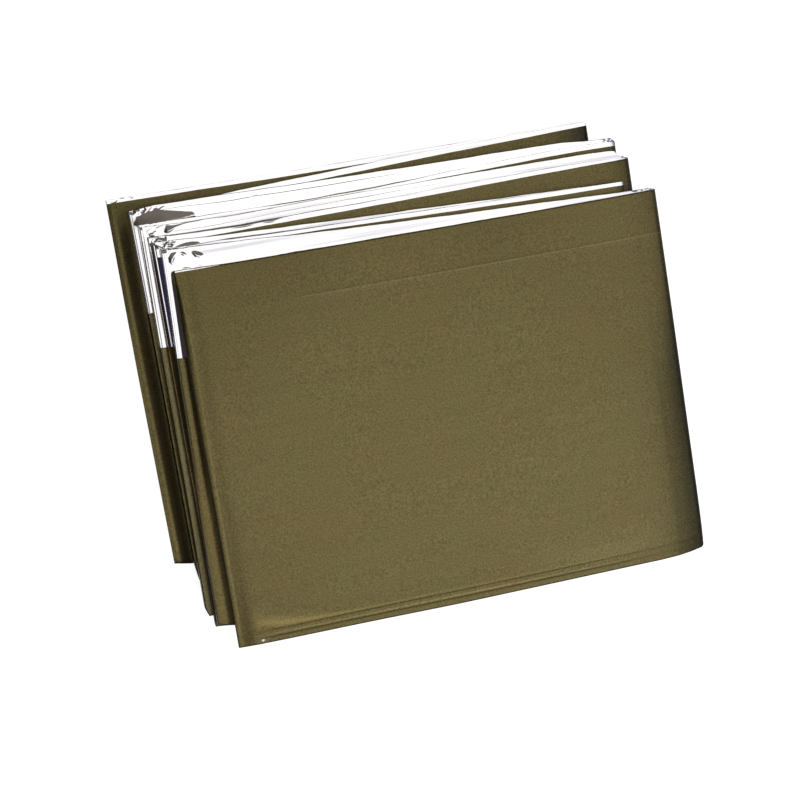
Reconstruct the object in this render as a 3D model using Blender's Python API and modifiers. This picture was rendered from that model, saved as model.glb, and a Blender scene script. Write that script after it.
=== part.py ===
"""Emergency foil blanket, fan-folded into a pocket-size pack that lies flat.

The film is first folded lengthwise into a narrow strip. The strip is then folded back and forth into ten
leaves, which have slid out of register. The strip is one solid: it runs from the free end of the top leaf,
round a nose at every turn, to the free end of the bottom leaf. X runs along the leaves, +Y points to their
open edges, and +Z is up, away from the surface.
"""

import math

import bmesh
import bpy

MM = 0.001

# Driving dimensions, in millimetres.
LEAF_THICKNESS = 1.05  # the flattened strip: many layers of film and a little air
LEAF_GAP = 0.45  # between one leaf and the next
LEAF_PITCH = LEAF_THICKNESS + LEAF_GAP
NOSE_RADIUS = LEAF_PITCH / 2  # of the strip's middle, where it turns back on itself
NOSE_REACH = NOSE_RADIUS + LEAF_THICKNESS / 2  # from the turn's centre to the outside of the nose

# Mesh steps.
STEPS_ALONG_LEAF = 9
STEPS_ROUND_NOSE = 6
STEPS_ACROSS = 10

# The leaves from top to bottom, measured from the middle of the top one, before the pack is centred.
# left and right are a leaf's two ends: a nose where it turns into the next leaf, and a free end at the left
# of the first and last. bottom and top are the strip's two long edges, as (x, y) points.
LEAVES = [
    {"left": -60.0, "right": 61.0,
     "bottom": [(-60, -45.9), (-52, -46.2), (-30, -46.4), (0, -46.8), (50, -46.8), (56, -46.5), (61, -45.8)],
     "top": [(-60, 45.4), (-45, 45.1), (0, 45.0), (40, 45.1), (61, 45.3)]},
    {"left": -61.3, "right": 61.0,
     "bottom": [(-61, -40.6), (-54, -44.4), (30, -46.0), (61, -45.0)],
     "top": [(-61, 50.5), (-46, 49.9), (-28, 48.9), (0, 47.7), (30, 46.7), (61, 45.6)]},
    {"left": -61.3, "right": 54.4,
     "bottom": [(-61, -40.4), (-50, -41.6), (54, -42.5)],
     "top": [(-61, 51.8), (-46, 51.1), (-28, 50.5), (0, 49.7), (30, 49.2), (54, 48.7)]},
    {"left": -63.7, "right": 54.4,
     "bottom": [(-64, -40.6), (54, -41.2)],
     "top": [(-63, 52.6), (-46, 51.7), (-28, 51.0), (0, 50.0), (30, 49.2), (54, 48.4)]},
    {"left": -63.7, "right": 57.4,
     "bottom": [(-64, -40.2), (57, -39.6)],
     "top": [(-63, 53.8), (-46, 53.4), (-15, 53.6), (20, 54.2), (40, 54.4), (57, 54.0)]},
    {"left": -65.3, "right": 57.4,
     "bottom": [(-65, -38.4), (57, -38.4)],
     "top": [(-65, 56.7), (-50, 56.3), (-15, 56.2), (10, 56.3), (40, 56.4), (53, 56.3), (57, 54.3)]},
    {"left": -65.3, "right": 55.6,
     "bottom": [(-65, -37.4), (-58, -34.0), (55, -33.0)],
     "top": [(-65, 57.2), (-28, 57.0), (0, 57.3), (20, 57.9), (45, 58.6), (55, 58.3)]},
    {"left": -66.4, "right": 55.6,
     "bottom": [(-66, -27.8), (-64, -30.6), (55, -31.2)],
     "top": [(-66, 60.5), (-60, 61.1), (-28, 60.7), (6, 60.3), (41, 60.1), (50, 59.4), (55, 59.3)]},
    {"left": -66.4, "right": 49.8,
     "bottom": [(-66, -27.0), (-64, -28.8), (49, -27.0)],
     "top": [(-66, 60.6), (-49, 60.9), (-35, 61.7), (-19, 62.4), (0, 63.2), (20, 63.6), (49, 64.3)]},
    {"left": -70.8, "right": 49.8,
     "bottom": [(-71, -25.1), (-66, -25.9), (49, -26.2)],
     "top": [(-70, 64.1), (-30, 64.0), (10, 64.2), (49, 64.4)]},
]
LAST = len(LEAVES) - 1
STACK_HEIGHT = LAST * LEAF_PITCH + LEAF_THICKNESS

# How the pile departs from flat leaves. The bottom leaf stays flat, because it rests on the surface.
CROWN_HEIGHT = 0.8  # how far trapped air lifts the middle of the top leaf
CROWN_HALF_X = 64.0
CROWN_HALF_Y = 48.0
WAVE_HEIGHT = 0.16
WAVE_X = {"length": 53.0, "phase": 0.8}
WAVE_Y = {"length": 61.0, "phase": 0.3}

# The right ends hang past the two lowest leaves and roll down, most of all towards the bottom edge.
END_ROLL = {"start": 50.0, "reach": 10.0, "drop": 1.2}
END_ROLL_SHARE_AT_TOP = 0.45
END_ROLL_GROWS = {"from_y": 20.0, "to_y": -30.0}
# The bottom edges hang past the lowest leaves.
EDGE_SAG = {"start": -28.0, "reach": 19.0, "drop": 0.8}

OLIVE = (0.147, 0.120, 0.050, 1.0)


def smooth(t):
    t = min(1.0, max(0.0, t))
    return t * t * (3 - 2 * t)


def slope_at(points, k):
    """Slope of a smooth edge at its k-th point: level at a peak or a dip, so that it never overshoots."""
    rates = [(y1 - y0) / (x1 - x0) for (x0, y0), (x1, y1) in zip(points, points[1:])]
    before, after = rates[max(0, k - 1)], rates[min(k, len(rates) - 1)]
    return 2 * before * after / (before + after) if before * after > 0 else 0.0


def along_edge(points, x):
    """The y of a long edge at x: a smooth curve through its points, level past both ends."""
    x = min(points[-1][0], max(points[0][0], x))
    k = next(k for k in range(len(points) - 1) if x <= points[k + 1][0])
    (x0, y0), (x1, y1) = points[k], points[k + 1]
    t = (x - x0) / (x1 - x0)
    start, end = slope_at(points, k) * (x1 - x0), slope_at(points, k + 1) * (x1 - x0)
    bend = start + end - 2 * (y1 - y0)
    return y0 + t * (start + t * ((y1 - y0) - start - bend + t * bend))


def leaf_level(index):
    """Height of the middle of a flat leaf above the surface."""
    return STACK_HEIGHT - LEAF_THICKNESS / 2 - index * LEAF_PITCH


def turns_at_right(index):
    """Whether a leaf and the one below it are joined at their right ends."""
    return index % 2 == 0


def strip_stations():
    """The strip's middle line, one station for each mesh column: (x, level, leaf, share of the next leaf)."""
    stations = []
    for index, leaf in enumerate(LEAVES):
        left_is_free = index in (0, LAST)
        left = leaf["left"] + (0 if left_is_free else NOSE_REACH)
        right = leaf["right"] - NOSE_REACH
        start, end = (left, right) if turns_at_right(index) else (right, left)
        last_step = STEPS_ALONG_LEAF if index == LAST else STEPS_ALONG_LEAF - 1
        for step in range(last_step + 1):
            x = start + (end - start) * step / STEPS_ALONG_LEAF
            stations.append((x, leaf_level(index), index, 0.0))
        if index == LAST:
            break
        side = 1 if turns_at_right(index) else -1
        centre = (leaf_level(index) + leaf_level(index + 1)) / 2
        for step in range(STEPS_ROUND_NOSE):
            turn = math.pi * step / STEPS_ROUND_NOSE
            x = end + side * NOSE_RADIUS * math.sin(turn)
            level = centre + NOSE_RADIUS * math.cos(turn)
            stations.append((x, level, index, step / STEPS_ROUND_NOSE))
    return stations


def wave_at(distance, wave):
    return math.cos(math.tau * distance / wave["length"] + wave["phase"])


def lift(x, y, level):
    """How far a point of the pile lies above or below its place in a flat one."""
    share = (level - leaf_level(LAST)) / (leaf_level(0) - leaf_level(LAST))
    crown = max(0.0, 1 - (x / CROWN_HALF_X) ** 2) * max(0.0, 1 - (y / CROWN_HALF_Y) ** 2)
    wave = wave_at(x, WAVE_X) * wave_at(y, WAVE_Y)
    air = share * share * (CROWN_HEIGHT * crown + WAVE_HEIGHT * wave)
    grown = (END_ROLL_GROWS["from_y"] - y) / (END_ROLL_GROWS["from_y"] - END_ROLL_GROWS["to_y"])
    roll = smooth((x - END_ROLL["start"]) / END_ROLL["reach"])
    roll *= END_ROLL_SHARE_AT_TOP + (1 - END_ROLL_SHARE_AT_TOP) * smooth(grown)
    sag = max(0.0, (EDGE_SAG["start"] - y) / EDGE_SAG["reach"]) ** 2
    return air - END_ROLL["drop"] * roll - EDGE_SAG["drop"] * sag


def strip_point(station, across):
    """The place of a point of the strip's middle surface, at a share from its bottom edge to its open one."""
    x, level, index, share = station
    below = LEAVES[min(index + 1, LAST)]
    here = LEAVES[index]
    ease = smooth(share)
    bottom = along_edge(here["bottom"], x) * (1 - ease) + along_edge(below["bottom"], x) * ease
    top = along_edge(here["top"], x) * (1 - ease) + along_edge(below["top"], x) * ease
    y = bottom + (top - bottom) * across
    return x, y, level + lift(x, y, level)


def pack_centre():
    """The middle of the pack's box, seen from above."""
    xs = [leaf[side] for leaf in LEAVES for side in ("left", "right")]
    ys = [y for leaf in LEAVES for edge in ("bottom", "top") for _, y in leaf[edge]]
    return (min(xs) + max(xs)) / 2, (min(ys) + max(ys)) / 2


def make_strip(name):
    """The folded strip's middle surface: a flat grid whose columns are laid along the folds."""
    stations = strip_stations()
    centre_x, centre_y = pack_centre()
    columns = len(stations) - 1
    grid = bmesh.new()
    bmesh.ops.create_grid(grid, x_segments=columns, y_segments=STEPS_ACROSS, size=0.5)
    for vertex in grid.verts:
        station = stations[round((vertex.co.x + 0.5) * columns)]
        x, y, z = strip_point(station, vertex.co.y + 0.5)
        vertex.co = ((x - centre_x) * MM, (y - centre_y) * MM, z * MM)
    mesh = bpy.data.meshes.new(name)
    grid.to_mesh(mesh)
    grid.free()
    mesh.shade_smooth()
    return bpy.data.objects.new(name, mesh)


def film_material():
    material = bpy.data.materials.new("olive_film")
    material.use_nodes = True
    shader = material.node_tree.nodes["Principled BSDF"]
    shader.inputs["Base Color"].default_value = OLIVE
    shader.inputs["Metallic"].default_value = 0.8
    shader.inputs["Roughness"].default_value = 0.4
    return material


def main():
    for old in list(bpy.data.objects):
        bpy.data.objects.remove(old)
    collection = bpy.data.collections.new("emergency_foil_blanket")
    bpy.context.scene.collection.children.link(collection)
    blanket = make_strip("foil_blanket")
    collection.objects.link(blanket)
    body = blanket.modifiers.new("strip_thickness", "SOLIDIFY")
    body.thickness = LEAF_THICKNESS * MM
    body.offset = 0
    body.use_even_offset = True
    blanket.data.materials.append(film_material())


main()
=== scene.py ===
"""Emergency foil blanket: the looks of the fan-folded pack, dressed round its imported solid.

Lengths are in millimetres, measured from the middle of the top leaf, until a mesh is made.
"""

import math

import bpy
import numpy as np
from mathutils import Matrix, Vector


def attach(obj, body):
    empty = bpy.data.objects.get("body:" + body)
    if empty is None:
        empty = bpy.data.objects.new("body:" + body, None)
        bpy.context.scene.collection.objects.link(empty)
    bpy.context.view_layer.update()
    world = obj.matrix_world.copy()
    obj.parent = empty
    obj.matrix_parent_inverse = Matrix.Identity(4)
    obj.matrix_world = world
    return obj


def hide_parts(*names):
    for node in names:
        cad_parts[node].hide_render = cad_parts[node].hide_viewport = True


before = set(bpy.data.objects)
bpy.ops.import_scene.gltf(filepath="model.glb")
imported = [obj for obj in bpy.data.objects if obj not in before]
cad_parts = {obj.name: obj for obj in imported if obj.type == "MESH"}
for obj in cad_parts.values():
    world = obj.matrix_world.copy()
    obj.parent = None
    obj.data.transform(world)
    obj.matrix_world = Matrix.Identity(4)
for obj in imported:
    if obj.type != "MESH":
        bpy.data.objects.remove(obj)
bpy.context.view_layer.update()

NODE = "foil_blanket"
MM = 0.001

# The strip, as the solid has it.
LEAF_THICKNESS = 1.05
LEAF_PITCH = 1.5
NOSE_RADIUS = LEAF_PITCH / 2
NOSE_REACH = NOSE_RADIUS + LEAF_THICKNESS / 2
LEAVES = [
    {"left": -60.0, "right": 61.0,
     "bottom": [(-60, -45.9), (-52, -46.2), (-30, -46.4), (0, -46.8), (50, -46.8), (56, -46.5),
                (61, -45.8)],
     "top": [(-60, 45.4), (-45, 45.1), (0, 45.0), (40, 45.1), (61, 45.3)]},
    {"left": -61.3, "right": 61.0,
     "bottom": [(-61, -39.9), (-59, -40.2), (-57, -40.7), (-55.5, -42.5), (-52, -44.4), (30, -46.0),
                (61, -45.0)],
     "top": [(-61, 50.5), (-46, 49.9), (-28, 48.9), (0, 47.7), (30, 46.7), (61, 45.6)]},
    {"left": -61.3, "right": 54.4,
     "bottom": [(-61, -39.8), (-59, -40.1), (-50, -41.6), (54, -42.5)],
     "top": [(-61, 50.6), (-52, 50.55), (-46, 50.65), (-31, 50.1), (0, 49.4), (30, 48.8), (54, 48.3)]},
    {"left": -63.7, "right": 54.4,
     "bottom": [(-64, -40.6), (54, -41.2)],
     "top": [(-63, 52.6), (-46, 51.7), (-28, 51.0), (0, 50.0), (30, 49.0), (54, 48.2)]},
    {"left": -63.7, "right": 57.4,
     "bottom": [(-64, -40.2), (57, -39.6)],
     "top": [(-63, 53.8), (-46, 53.4), (-15, 53.6), (20, 54.2), (40, 54.4), (57, 54.0)]},
    {"left": -65.3, "right": 57.4,
     "bottom": [(-65, -38.4), (57, -38.4)],
     "top": [(-65, 56.6), (-57, 56.1), (-50, 55.95), (-40, 55.85), (-28, 56.1), (10, 56.3), (40, 56.4),
             (52, 56.2), (54.2, 55.9), (54.7, 54.8), (57, 54.2)]},
    {"left": -65.3, "right": 55.6,
     "bottom": [(-65, -37.4), (-58, -34.0), (55, -33.0)],
     "top": [(-65, 57.0), (-40, 56.65), (-28, 56.6), (-10, 56.8), (0, 57.1), (20, 57.9), (45, 58.6),
             (55, 58.3)]},
    {"left": -66.4, "right": 55.6,
     "bottom": [(-66, -30.0), (-64, -30.6), (55, -31.2)],
     "top": [(-66, 60.5), (-60, 61.1), (-28, 60.7), (6, 60.3), (41, 60.1), (50, 59.4), (55, 59.3)]},
    {"left": -66.4, "right": 49.8,
     "bottom": [(-66, -28.8), (-64, -29.0), (49, -27.0)],
     "top": [(-66, 60.6), (-49, 60.9), (-35, 61.6), (-19, 62.25), (-8, 62.7), (0, 63.1), (20, 63.6),
             (49, 64.3)]},
    {"left": -70.8, "right": 49.8,
     "bottom": [(-71, -25.1), (-66, -25.9), (49, -26.2)],
     "top": [(-70, 64.1), (-30, 64.0), (10, 64.2), (49, 64.4)]},
]
LAST = len(LEAVES) - 1
STACK_HEIGHT = LAST * LEAF_PITCH + LEAF_THICKNESS
ALL_X = [leaf[side] for leaf in LEAVES for side in ("left", "right")]
ALL_Y = [y for leaf in LEAVES for edge in ("bottom", "top") for _, y in leaf[edge]]
CENTRE_X = (min(ALL_X) + max(ALL_X)) / 2
CENTRE_Y = (min(ALL_Y) + max(ALL_Y)) / 2

# The pile's crown of trapped air, the roll of its right end, and the sag of its bottom edge.
CROWN_HEIGHT = 0.8
CROWN_HALF_X = 64.0
CROWN_HALF_Y = 48.0
WAVE_HEIGHT = 0.16
WAVE_X = {"length": 53.0, "phase": 0.8}
WAVE_Y = {"length": 61.0, "phase": 0.3}
END_ROLL = {"start": 50.0, "reach": 10.0, "drop": 0.8}
END_ROLL_SHARE_AT_TOP = 0.45
END_ROLL_GROWS = {"from_y": 20.0, "to_y": -30.0}
EDGE_SAG = {"start": -28.0, "reach": 19.0, "drop": 0.8}
# Reach of the leaves' right ends that droop, and their slope at the very end.
TOP_DROOP = (5.0, 0.13)
INNER_DROOP = (8.0, 0.07)

# The width of the silver margin on the strip's inner side, by leaf.
SILVER_MARGINS = [25.4, 25.4, 25.4, 24.8, 24.8, 28.8, 28.8, 24.4, 24.4, 27.0]


def smooth(t):
    """0 to 1 with level ends."""
    t = np.clip(t, 0.0, 1.0)
    return t * t * (3 - 2 * t)


def between(points, x):
    """Straight lines through (x, value) points, level past both ends."""
    return np.interp(x, *zip(*points))


def along_edge(points, x):
    """The y of a smooth edge through its points, level past both ends."""
    xs, ys = np.array(points, float).T
    rates = np.diff(ys) / np.diff(xs)
    both = rates[:-1] * rates[1:]
    middle = np.where(both > 0, 2 * both / np.where(both > 0, rates[:-1] + rates[1:], 1.0), 0.0)
    slopes = np.concatenate([rates[:1], middle, rates[-1:]])
    x = np.clip(x, xs[0], xs[-1])
    k = np.clip(np.searchsorted(xs, x) - 1, 0, len(xs) - 2)
    span = xs[k + 1] - xs[k]
    t = (x - xs[k]) / span
    a, b = slopes[k] * span, slopes[k + 1] * span
    rise = ys[k + 1] - ys[k]
    return ys[k] + t * (a + t * (3 * rise - 2 * a - b + t * (a + b - 2 * rise)))


def leaf_level(index):
    """Height of a leaf's middle in a flat pile."""
    return STACK_HEIGHT - LEAF_THICKNESS / 2 - index * LEAF_PITCH


def lift(x, y, level):
    """How far points of the pile lie above or below their places in a flat one, as in the solid."""
    share = (level - leaf_level(LAST)) / (leaf_level(0) - leaf_level(LAST))
    crown = np.maximum(0.0, 1 - (x / CROWN_HALF_X) ** 2) * np.maximum(0.0, 1 - (y / CROWN_HALF_Y) ** 2)
    wave = np.cos(math.tau * x / WAVE_X["length"] + WAVE_X["phase"])
    wave = wave * np.cos(math.tau * y / WAVE_Y["length"] + WAVE_Y["phase"])
    air = share * share * (CROWN_HEIGHT * crown + WAVE_HEIGHT * wave)
    grown = smooth((END_ROLL_GROWS["from_y"] - y) / (END_ROLL_GROWS["from_y"] - END_ROLL_GROWS["to_y"]))
    roll = smooth((x - END_ROLL["start"]) / END_ROLL["reach"])
    roll = roll * (END_ROLL_SHARE_AT_TOP + (1 - END_ROLL_SHARE_AT_TOP) * grown)
    sag = np.maximum(0.0, (EDGE_SAG["start"] - y) / EDGE_SAG["reach"]) ** 2
    return air - END_ROLL["drop"] * roll - EDGE_SAG["drop"] * sag


def end_droop(leaf, x):
    """How far a leaf above the bottom one droops towards its right end, besides the solid's own roll."""
    right = LEAVES[leaf]["right"]
    reach, slope = TOP_DROOP if leaf == 0 else INNER_DROOP
    past = np.clip(x - (right - reach), 0.0, reach)
    return 0.5 * slope / reach * past ** 2 * (leaf < LAST)


# ---------------------------------------------------------------------------------------------
# The film, one sheet that follows the strip's zigzag.

# The left ends lean a little: x of each leaf's left end, by y. Two leaves share each left fold.
LEANS = {
    9: [(-26, -70.5), (0, -70.8), (30, -71.1), (64, -71.2)],
    7: [(-30, -65.5), (-24, -66.1), (0, -66.2), (36, -66.4), (60, -66.65)],
    5: [(-38.4, -64.9), (-36, -65.6), (-10, -65.4), (28, -65.3), (56, -65.05)],
    3: [(-38, -64.1), (-10, -63.9), (49, -63.75)],
    1: [(-40, -63.8), (-20, -63.7), (-10, -63.4), (0, -63.0), (20, -62.6), (30, -62.2), (48, -61.6)],
    0: [(-46, -59.9), (45, -60.0)],
}
for fold in (1, 3, 5, 7):
    LEANS[fold + 1] = LEANS[fold]
LEAN_REACH = 9.0
# The left folds: how far they reach past the leaves, how square they are, and their sides' shade.
LEFT_FOLD_REACH = 0.22
LEFT_FOLD_SQUARE = 0.3
FOLD_SIDE_SHADE = 0.2
# Columns of the mesh by the distance from a leaf's left end.
FREE_COLUMNS = [0.0, 0.05, 0.1, 0.16]
LEFT_COLUMNS = [0.22, 0.32, 0.44, 0.50, 0.56, 0.62, 0.68, 0.80, 0.92, 1.0, 1.1, 1.2, 1.3, 1.4, 1.55,
                1.7, 1.85, 2.0, 2.3, 2.6, 3.0, 3.5, 4.0, 4.8, 5.8]
TOP_COLUMNS = [6.6, 7.5, 8.5, 10.0, 12.0, 14.5, 17.5]

# Height of the upward side by the distance from the leaf's left end, on its olive part and on its
# silver margin.
OLIVE_SHAPES = {
    9: [(0, -0.36), (0.1, -0.33), (0.75, -0.26), (1.0, -0.24), (1.5, -0.24), (1.8, -0.21), (2.2, -0.13),
        (2.8, 0.02), (3.5, 0.22), (4.5, 0.46), (9.0, 0.0)],
    7: [(0, -0.10), (0.15, 0.0), (0.5, -0.01), (0.9, -0.04), (1.3, 0.0)],
    5: [(0, -0.10), (0.15, -0.02), (0.6, 0.0)],
    3: [(0, -0.35), (0.1, -0.28), (0.45, -0.25), (1.1, 0.0), (1.4, 0.1), (2.3, 0.30), (5.0, 0.0)],
    1: [(0, -0.25), (0.15, -0.12), (0.35, -0.05), (0.6, -0.01), (0.8, 0.0), (1.4, 0.0), (1.8, 0.03),
        (2.1, 0.13), (2.5, 0.36), (2.7, 0.42), (5.0, 0.42), (9.0, 0.0)],
}
SILVER_SHAPES = {
    7: [(0, 0), (0.44, 0.0), (0.50, -0.03), (0.62, 0.0), (1.2, 0.03), (5.0, 0.0)],
    5: [(0, 0), (0.50, 0.0), (0.56, -0.03), (0.68, 0.0), (1.7, 0.055), (5.0, 0.0)],
    3: [(0, -0.54), (0.15, -0.47), (1.0, -0.27), (1.1, -0.265), (1.3, -0.28), (2.3, 0.22), (5.0, 0.0)],
    1: [(0, 0), (0.44, 0.0), (0.50, -0.02), (0.58, 0.0), (1.3, 0.0), (1.45, 0.02), (2.4, 0.34),
        (5.0, 0.34)],
}
# Beyond "from" and up to "until" from the left end, the leaves that dip or climb beside the one
# above are brought level again between two places up the leaf, from the height "start".
LEVEL_FROM = 1.3
LEVEL_UNTIL = 9.0
LEVEL_ABOVE = {
    9: {"from_y": 52.0, "to_y": 63.0, "start": -0.24},
    3: {"from_y": 48.8, "to_y": 50.3, "start": 0.0},
    1: {"from_y": 43.5, "to_y": 45.8, "start": 0.0},
}
# Further down the pile's side the ends close up, with shapes of their own, blended in by y.
LOW_SHAPES = {
    9: [(0, -0.46), (0.1, -0.52), (0.75, -0.50), (1.0, -0.48), (1.7, -0.48), (2.0, -0.44), (2.5, -0.34),
        (3.2, -0.15), (4.5, 0.30), (9.0, 0.0)],
    7: [(0, -0.10), (0.15, 0.0)],
    3: [(0, -0.14), (0.15, -0.04), (0.5, 0.0), (1.4, 0.0), (2.3, 0.20), (5.0, 0.0)],
    1: [(0, -0.15), (0.3, -0.03), (0.9, 0.0), (2.1, 0.0), (2.4, 0.04), (3.8, 0.46), (5.0, 0.46),
        (9.0, 0.0)],
}
LOW_SHAPES_BLEND = {9: (36.0, 26.0), 7: (2.0, -12.0), 3: (2.0, -12.0), 1: (2.0, -12.0)}

# Rows of the mesh by the distance from the two edges and from the silver margin's end.
ROWS_FROM_BOTTOM = [0, 0.1, 0.25, 0.4, 0.55, 0.7, 0.85, 1.0, 1.15, 1.3, 1.45, 1.6, 1.8, 2.0, 2.2, 2.4,
                    2.55, 2.7, 2.85, 3.0, 3.15, 3.3, 3.45, 3.6, 3.75, 3.9, 4.1, 4.4, 4.8, 5.4, 7.0, 9.0]
ROWS_FROM_TOP = [0, 0.15, 0.4, 0.8, 1.2, 1.7, 2.4, 3.3, 4.3, 5.6, 7.2, 8.8, 10.0, 10.35, 10.5,
                 10.65, 11.0, 13, 16, 20]
ROWS_ROUND_MARGIN = [-1.5, -0.12, 0.0, 0.12, 1.5]
MIDDLE_ROWS = 8
COARSE_STEP = 4.5
RIGHT_STEP = 0.5
RIGHT_REACH = 7.0
NOSE_STEPS = 10
TOLERANCE = 0.01


def leaf_columns(index):
    """x of every column of one leaf, close together near both ends."""
    leaf = LEAVES[index]
    free = index in (0, LAST)
    near = [leaf["left"] + d for d in (FREE_COLUMNS if free else []) + LEFT_COLUMNS]
    if index == 0:
        near += [leaf["left"] + d for d in TOP_COLUMNS]
    stop = leaf["right"] - NOSE_REACH
    far = list(np.arange(stop, stop - RIGHT_REACH, -RIGHT_STEP))[::-1]
    count = max(2, int(round((far[0] - near[-1]) / COARSE_STEP)))
    return near + list(np.linspace(near[-1], far[0], count + 1))[1:-1] + far


def strip_stations():
    """(x, level, leaf index, share of the next leaf) along the strip's middle line."""
    stations = []
    for index in range(LAST + 1):
        xs = leaf_columns(index)
        if index % 2:
            xs = xs[::-1]
        stations += [(x, leaf_level(index), index, 0.0) for x in xs]
        if index == LAST:
            break
        side = 1 if index % 2 == 0 else -1
        end = xs[-1]
        for step in range(1, NOSE_STEPS):
            turn = math.pi * step / NOSE_STEPS
            level = (leaf_level(index) + leaf_level(index + 1)) / 2 + NOSE_RADIUS * math.cos(turn)
            x = end + NOSE_RADIUS * math.sin(turn) if side > 0 else end
            stations.append((x, level, index, step / NOSE_STEPS))
    return stations


def row_places(bottom, top, margin):
    """y of every row between a bottom and a top edge, some of them at the silver margin's end."""
    low = [bottom + d for d in ROWS_FROM_BOTTOM]
    high = [top - d for d in ROWS_FROM_TOP + [margin + d for d in ROWS_ROUND_MARGIN]][::-1]
    middle = list(np.linspace(low[-1], high[0], MIDDLE_ROWS + 2))[1:-1]
    return np.array(low + middle + high)


def edge_round(distance, reach, least):
    """1 away from an edge, falling along a quarter circle to least at the edge itself."""
    t = np.clip(distance / reach, 0.0, 1.0)
    return least + (1 - least) * np.sqrt(np.clip(1 - (1 - t) ** 2, 0.0, 1.0))


def film_arrays():
    """Places and distances at every point of the grid that the film's middle makes."""
    stations = strip_stations()
    columns = []
    for x, level, leaf, part in stations:
        here, below = LEAVES[leaf], LEAVES[min(leaf + 1, LAST)]
        ease = float(smooth(part))
        bottom = along_edge(here["bottom"], x) * (1 - ease) + along_edge(below["bottom"], x) * ease
        top = along_edge(here["top"], x) * (1 - ease) + along_edge(below["top"], x) * ease
        margin = SILVER_MARGINS[leaf] * (1 - ease) + SILVER_MARGINS[min(leaf + 1, LAST)] * ease
        y = row_places(bottom, top, margin)
        in_margin = (top - y < margin + TOLERANCE) & (leaf < LAST)
        columns.append((x + 0 * y, y, level + 0 * y, top - y, y - bottom, in_margin))
    x, y, level, to_top, to_bottom, in_margin = (np.array(part) for part in zip(*columns))
    index = np.array([station[2] for station in stations])
    share = np.array([station[3] for station in stations])
    return x, y, level, index, share, to_top, to_bottom, in_margin


def gauss(distance, width):
    """1 at no distance, fading smoothly to nothing."""
    return np.exp(-((distance / width) ** 2))


def left_lean(leaf, x, y):
    """How far points near a leaf's left end are moved along x."""
    straight = LEAVES[leaf]["left"]
    return (along_edge(LEANS[leaf], y) - straight) * smooth(1 - (x - straight) / LEAN_REACH)


def left_shape(leaf, from_left, y, silver):
    """Height of a leaf's upward side near its left end."""
    height = between(OLIVE_SHAPES[leaf], from_left)
    if leaf in LOW_SHAPES:
        start, stop = LOW_SHAPES_BLEND[leaf]
        blend = smooth((start - y) / (start - stop))
        height += blend * (between(LOW_SHAPES[leaf], from_left) - height)
    if leaf in SILVER_SHAPES:
        height = np.where(silver, between(SILVER_SHAPES[leaf], from_left), height)
    if leaf in LEVEL_ABOVE:
        level = LEVEL_ABOVE[leaf]
        blend = smooth((y - level["from_y"]) / (level["to_y"] - level["from_y"]))
        flat = np.interp(from_left, [LEVEL_FROM, LEVEL_UNTIL], [level["start"], 0.0])
        height = np.where(from_left > LEVEL_FROM, height + blend * (flat - height), height)
    return height


# By y, over how many millimetres the top leaf's free end rolls down, and by how much.
FREE_END_REACH = [(-46, 0.9), (-36, 1.0), (-20, 1.2), (0, 1.3), (20, 1.5), (37, 1.5), (45.5, 0.5)]
FREE_END_DROP = [(-46, 0.08), (-36, 0.10), (0, 0.15), (20, 0.22), (34, 0.6), (40, 0.8)]
# Low steps where the layers end, short of the bottom edge, and a crease under the top one.
LOW_STEPS = [
    {"at": [(-60, 2.9), (-30, 3.2), (20, 3.4), (61, 3.3)], "height": 0.08},
    {"at": [(-60, 1.25), (-30, 1.55), (20, 1.65), (61, 1.5)], "height": 0.09},
]
LOW_STEPS_WIDTH = 0.38
LOW_STEPS_SPAN = {"from_x": -55.5, "fade_in": 2.5, "fade_from_x": 40.0, "fade_out": 16.0, "least": 0.3}
TOP_CREASE = {"below_top": 10.5, "height": 0.025, "width": 0.16, "from_x": -40.0, "fade_in": 20.0}
# Rounded rims: over how far they are rounded, and the share of the thickness left at the very edge.
BOTTOM_RIM = (0.5, 0.15)
TOP_RIM = (0.5, 0.2)
TOP_LEAF_RIM = (0.15, 0.85)
LAST_END_RIM = (0.8, 0.0)
# Ridge and trough beside the top leaf's free end: distance from it, width and height.
FREE_END_WAVES = [(1.9, 0.5, 0.03), (3.4, 1.2, -0.03)]
# How far the silver skin stands out, and where the left ends' shapes fade on their way round a turn.
SILVER_LIFT = 0.06
SHAPES_FADE = {"start": 0.25, "reach": 0.2}


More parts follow.
